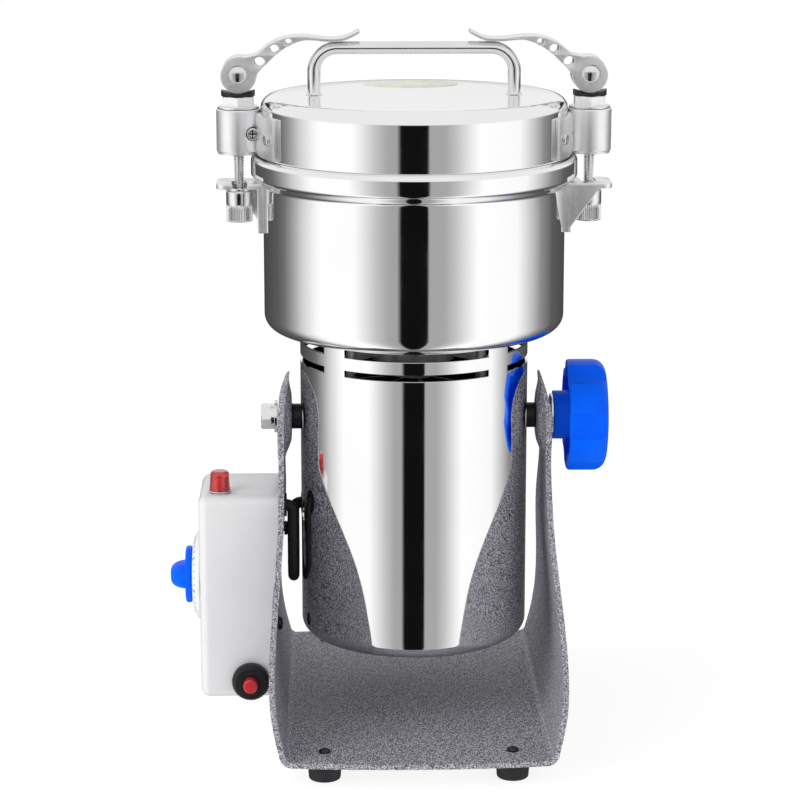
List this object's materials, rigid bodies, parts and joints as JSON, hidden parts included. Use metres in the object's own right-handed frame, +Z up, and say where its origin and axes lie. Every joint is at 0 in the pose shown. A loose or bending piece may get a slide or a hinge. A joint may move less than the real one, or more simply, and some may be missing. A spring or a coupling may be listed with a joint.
{
  "type": "electric grain mill",
  "caption": "Tilting electric grain mill: polished motor housing and clamped bowl hung in a sheet-metal yoke with a side control box.",
  "frame": {"origin": "middle of the whole object's box, on the table under the rubber feet; the mill's own axis stands 15.2 mm to +X of it", "axes": "+Z up along the mill's axis, +X to the star knob's side along the tilt axis, -Y towards the user in front"},
  "size_m": [0.2447, 0.232, 0.3926],
  "materials": {
    "painted_grey": "hammertone",
    "black_rubber": "matt",
    "polished_steel": "mirror polished stainless steel",
    "bright_steel": "bright plated",
    "zinc_screws": "zinc plated",
    "black_screws": "blackened",
    "box_enamel": "smooth satin enamel",
    "dial_white": "satin",
    "blue_plastic": "glossy",
    "lamp_red": "clear red",
    "button_red": "glossy",
    "black_plastic": "satin",
    "cast_aluminium": "as cast",
    "lamination": "varnished",
    "copper_wire": "enamelled copper",
    "brass_parts": "bright",
    "blade_steel": "ground",
    "silicone": "matt",
    "ivory_plastic": "matt"
  },
  "bodies": {
    "stand": {"base_yoke": "painted_grey", "rubber_feet": "black_rubber", "stand_screws": "black_screws", "control_box": "box_enamel", "box_back": "zinc_screws", "timer_body": "ivory_plastic", "dial_plate": "dial_white", "indicator_lamp": "lamp_red", "breaker_body": "black_plastic", "breaker_ring": "black_plastic", "reset_spring": "zinc_screws", "mains_gland": "black_plastic", "terminal_block": "ivory_plastic", "arm_grommet": "black_rubber", "motor_lead": "black_rubber"},
    "timer_knob": {"timer_knob": "blue_plastic"},
    "reset_button": {"reset_button": "button_red"},
    "mill": {"housing_grommet": "black_rubber", "motor_housing": "polished_steel", "bottom_cover": "polished_steel", "top_plate": "cast_aluminium", "lower_bracket": "cast_aluminium", "motor_bolts": "zinc_screws", "stator_core": "lamination", "field_coils": "copper_wire", "brush_gear": "brass_parts", "bearing_outers": "bright_steel", "shaft_seal": "black_rubber", "grinding_bowl": "polished_steel", "bowl_screws": "bright_steel", "clamp_ears": "bright_steel", "pivot_bushes": "black_plastic", "pivot_bolt": "bright_steel", "knob_washer": "bright_steel"},
    "tilt_knob": {"tilt_knob": "blue_plastic"},
    "rotor": {"rotor_shaft": "bright_steel", "armature": "lamination", "commutator": "copper_wire", "cooling_fan": "black_plastic", "bearing_inners": "bright_steel", "blade_lower": "blade_steel", "blade_middle": "blade_steel", "blade_upper": "blade_steel", "blade_spacers": "bright_steel", "blade_nut": "bright_steel"},
    "lid": {"lid": "polished_steel", "lid_gasket": "silicone", "lid_handle": "bright_steel", "clamp_saddles": "bright_steel", "saddle_screws": "zinc_screws", "barrel_caps": "bright_steel", "cam_seats": "black_plastic"},
    "rod_left": {"rod_left": "bright_steel", "washer_left": "bright_steel"},
    "nut_left": {"nut_left": "bright_steel"},
    "lever_left": {"lever_left": "bright_steel"},
    "rod_right": {"rod_right": "bright_steel", "washer_right": "bright_steel"},
    "nut_right": {"nut_right": "bright_steel"},
    "lever_right": {"lever_right": "bright_steel"}
  },
  "joints": [
    {"name": "mill_tilt", "type": "hinge", "parent": "stand", "child": "mill", "pos_m": [0.0152, 0, 0.177], "axis": [1, 0, 0], "range_deg": [-100, 100], "deforming": ["motor_lead"]},
    {"name": "rotor_spin", "type": "hinge", "parent": "mill", "child": "rotor", "pos_m": [0.0152, 0, 0.204], "axis": [0, 0, 1], "continuous": true},
    {"name": "lid_turn", "type": "hinge", "parent": "mill", "child": "lid", "pos_m": [0.0152, 0, 0.324], "axis": [0, 0, 1], "range_deg": [0, 25]},
    {"name": "tilt_knob_turn", "type": "hinge", "parent": "mill", "child": "tilt_knob", "pos_m": [0.0928, 0, 0.177], "axis": [1, 0, 0], "range_deg": [0, 360]},
    {"name": "timer_knob_turn", "type": "hinge", "parent": "stand", "child": "timer_knob", "pos_m": [-0.1088, 0, 0.0858], "axis": [1, 0, 0], "range_deg": [0, 300]},
    {"name": "reset_button_press", "type": "slide", "parent": "stand", "child": "reset_button", "axis": [0, 1, 0], "range_m": [0, 0.0025], "stiffness_N_per_m": 600, "springref_m": -0.001, "deforming": ["reset_spring"]},
    {"name": "rod_left_slide", "type": "slide", "parent": "lid", "child": "rod_left", "axis": [0, 0, -1], "range_m": [0, 0.0016]},
    {"name": "lever_left_swing", "type": "hinge", "parent": "rod_left", "child": "lever_left", "pos_m": [-0.0803, 0, 0.3676], "axis": [0, -1, 0], "range_deg": [0, 120]},
    {"name": "nut_left_turn", "type": "hinge", "parent": "rod_left", "child": "nut_left", "pos_m": [-0.0803, 0, 0.294], "axis": [0, 0, -1], "range_deg": [0, 360]},
    {"name": "rod_right_slide", "type": "slide", "parent": "lid", "child": "rod_right", "axis": [0, 0, -1], "range_m": [0, 0.0016]},
    {"name": "lever_right_swing", "type": "hinge", "parent": "rod_right", "child": "lever_right", "pos_m": [0.1107, 0, 0.3676], "axis": [0, 1, 0], "range_deg": [0, 120]},
    {"name": "nut_right_turn", "type": "hinge", "parent": "rod_right", "child": "nut_right", "pos_m": [0.1107, 0, 0.294], "axis": [0, 0, -1], "range_deg": [0, 360]}
  ],
  "couplings": [
    {"joint": "rod_left_slide", "follows": "lever_left_swing", "m_per_rad": 0.00076},
    {"joint": "rod_right_slide", "follows": "lever_right_swing", "m_per_rad": 0.00076}
  ]
}
